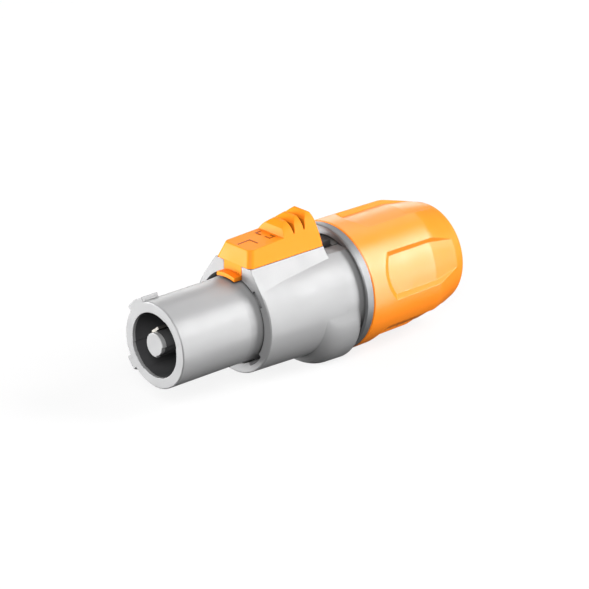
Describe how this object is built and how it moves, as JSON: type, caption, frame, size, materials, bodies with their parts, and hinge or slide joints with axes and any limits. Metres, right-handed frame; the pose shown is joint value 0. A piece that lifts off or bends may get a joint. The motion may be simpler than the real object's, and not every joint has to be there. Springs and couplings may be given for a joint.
{
  "type": "twist-lock power connector",
  "caption": "Inline mains power connector: bayonet nose round a guarded contact cavity, spring latch on top, keyed housing, and a screwed grip that closes a collet on the cable.",
  "frame": {"origin": "centre of the nose's front face, on the connector's axis", "axes": "+X along the axis from the nose to the cable end, +Z towards the latch, -Y the side that the picture shows"},
  "size_m": [0.084, 0.0298, 0.0359],
  "materials": {
    "grey_plastic": "satin light grey moulding",
    "black_plastic": "fine matt black moulding",
    "orange_plastic": "satin orange moulding",
    "chuck_plastic": "natural white nylon",
    "contact_metal": "silver-plated strip",
    "terminal_metal": "plain brass",
    "screw_steel": "zinc-plated steel",
    "ring_metal": "dark grey turned metal",
    "seal_rubber": "black rubber"
  },
  "bodies": {
    "root": {"housing": "grey_plastic", "nose_shell": "grey_plastic", "post_cap": "grey_plastic", "contact_carrier": "black_plastic", "contact_line": "contact_metal", "contact_neutral": "contact_metal", "contact_earth": "contact_metal", "terminal_cage_line": "terminal_metal", "terminal_cage_neutral": "terminal_metal", "terminal_cage_earth": "terminal_metal", "wire_clamp_line": "screw_steel", "wire_clamp_neutral": "screw_steel", "wire_clamp_earth": "screw_steel", "terminal_screws": "screw_steel", "latch_spring": "screw_steel", "latch_spring_keeper": "black_plastic", "chuck": "chuck_plastic"},
    "latch": {"latch": "orange_plastic"},
    "gland": {"cable_seal": "seal_rubber"},
    "grip": {"bushing": "orange_plastic", "collar_ring": "ring_metal"}
  },
  "joints": [
    {"name": "latch_slide", "type": "slide", "parent": "root", "child": "latch", "axis": [1, 0, 0], "range_m": [0, 0.0035], "stiffness_N_per_m": 300, "springref_m": -0.004, "deforming": ["latch_spring"]},
    {"name": "gland_slide", "type": "slide", "parent": "root", "child": "gland", "axis": [1, 0, 0], "range_m": [0, 0.008]},
    {"name": "grip_turn", "type": "hinge", "parent": "gland", "child": "grip", "pos_m": [0.0505, 0, 0], "axis": [1, 0, 0], "range_deg": [0, 1440]}
  ],
  "couplings": [
    {"joint": "gland_slide", "follows": "grip_turn", "m_per_rad": 0.0003183}
  ]
}
